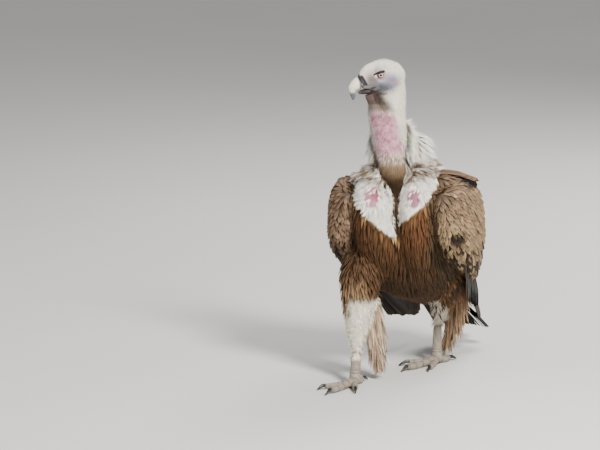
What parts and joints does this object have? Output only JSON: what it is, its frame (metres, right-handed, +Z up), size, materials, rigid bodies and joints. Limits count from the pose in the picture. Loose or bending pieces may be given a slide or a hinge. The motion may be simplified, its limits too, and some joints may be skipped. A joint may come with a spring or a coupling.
{
  "type": "griffon vulture",
  "caption": "Griffon vulture at life size, walking on two feet with its head turned to its right, its wings folded and its white breast patches showing.",
  "frame": {"origin": "centre of the bottom of the bird's box, on the floor that its toes stand on", "axes": "+Z up, -Y the way that the bird's body faces, +X to the bird's left"},
  "size_m": [0.3538, 0.7116, 0.7531],
  "materials": {
    "down": "short cream-white down",
    "face": "bluish grey skin under thin white down",
    "cere": "smooth dark blue-grey skin",
    "bill": "pale cream horn, greyer at the hook",
    "bill_under": "grey horn",
    "eye": "wet, pale brown iris and black pupil",
    "breast": "white down over rufous brown feathers",
    "trunk": "soft brown feathers with pale shafts",
    "coverts": "sandy brown feathers with pale edges",
    "quill": "stiff blackish brown flight feathers",
    "thigh": "loose tan feathers and white wool",
    "leg": "scaly grey-beige skin",
    "claw": "dark horn, worn at the tips"
  },
  "bodies": {
    "root": {"head": "face", "cere": "cere", "bill_upper": "bill", "bill_lower": "bill_under", "eye_left": "eye", "eye_right": "eye", "neck": "down", "ruff": "down", "breast_left": "breast", "breast_right": "breast", "trunk": "trunk", "scapulars_left": "coverts", "scapulars_right": "coverts", "wing_left_coverts": "coverts", "wing_right_coverts": "coverts", "wing_left_flight": "quill", "wing_right_flight": "quill", "tail": "quill", "thigh_left": "thigh", "thigh_right": "thigh", "plume_left": "thigh", "plume_right": "thigh", "shank_left": "leg", "shank_right": "leg", "toe_hallux_left": "leg", "toe_inner_left": "leg", "toe_middle_left": "leg", "toe_outer_left": "leg", "toe_hallux_right": "leg", "toe_inner_right": "leg", "toe_middle_right": "leg", "toe_outer_right": "leg", "claw_hallux_left": "claw", "claw_inner_left": "claw", "claw_middle_left": "claw", "claw_outer_left": "claw", "claw_hallux_right": "claw", "claw_inner_right": "claw", "claw_middle_right": "claw", "claw_outer_right": "claw"}
  },
  "joints": []
}
